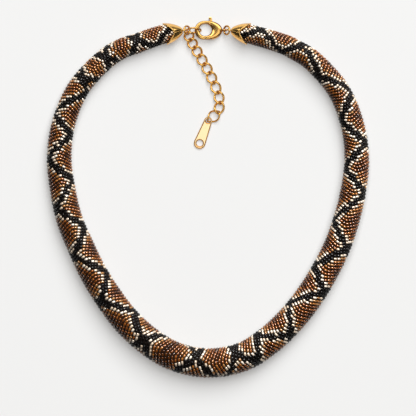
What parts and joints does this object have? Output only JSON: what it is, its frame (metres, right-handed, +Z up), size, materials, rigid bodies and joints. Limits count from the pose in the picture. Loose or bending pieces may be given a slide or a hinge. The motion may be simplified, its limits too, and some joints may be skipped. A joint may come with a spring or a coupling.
{
  "type": "snake necklace",
  "caption": "Round bead-crochet rope necklace with a snakeskin pattern, metal end caps, lobster clasp and extender chain with a drop tag, lying flat.",
  "frame": {"origin": "middle of the footprint, on the surface that the necklace lies on", "axes": "+Z up from the surface, -Y towards the front of the necklace, where the rope is thickest, +X from the left cap towards the right cap"},
  "size_m": [0.139, 0.1555, 0.013],
  "materials": {
    "glass_beads": "gloss",
    "gold_caps": "polished",
    "gold_rings": "polished",
    "gold_clasp": "polished",
    "gold_chain": "polished",
    "gold_tag": "polished"
  },
  "bodies": {
    "necklace": {"beaded_rope": "glass_beads", "left_end_cap": "gold_caps", "right_end_cap": "gold_caps", "left_jump_ring": "gold_rings", "right_jump_ring": "gold_rings", "clasp_link": "gold_rings", "clasp_body": "gold_clasp", "curb_link_1": "gold_chain", "curb_link_2": "gold_chain", "curb_link_3": "gold_chain", "curb_link_4": "gold_chain", "curb_link_5": "gold_chain", "curb_link_6": "gold_chain", "curb_link_7": "gold_chain", "curb_link_8": "gold_chain", "curb_link_9": "gold_chain", "tag_ring": "gold_chain", "drop_tag": "gold_tag"},
    "lever": {"clasp_lever": "gold_clasp"}
  },
  "joints": [
    {"name": "lever_hinge", "type": "hinge", "parent": "necklace", "child": "lever", "pos_m": [0.00289, 0.07121, 0.00256], "axis": [0, -0.2079, -0.9781], "range_deg": [0, 25], "stiffness_Nm_per_rad": 0.003, "springref_deg": -5.73}
  ]
}
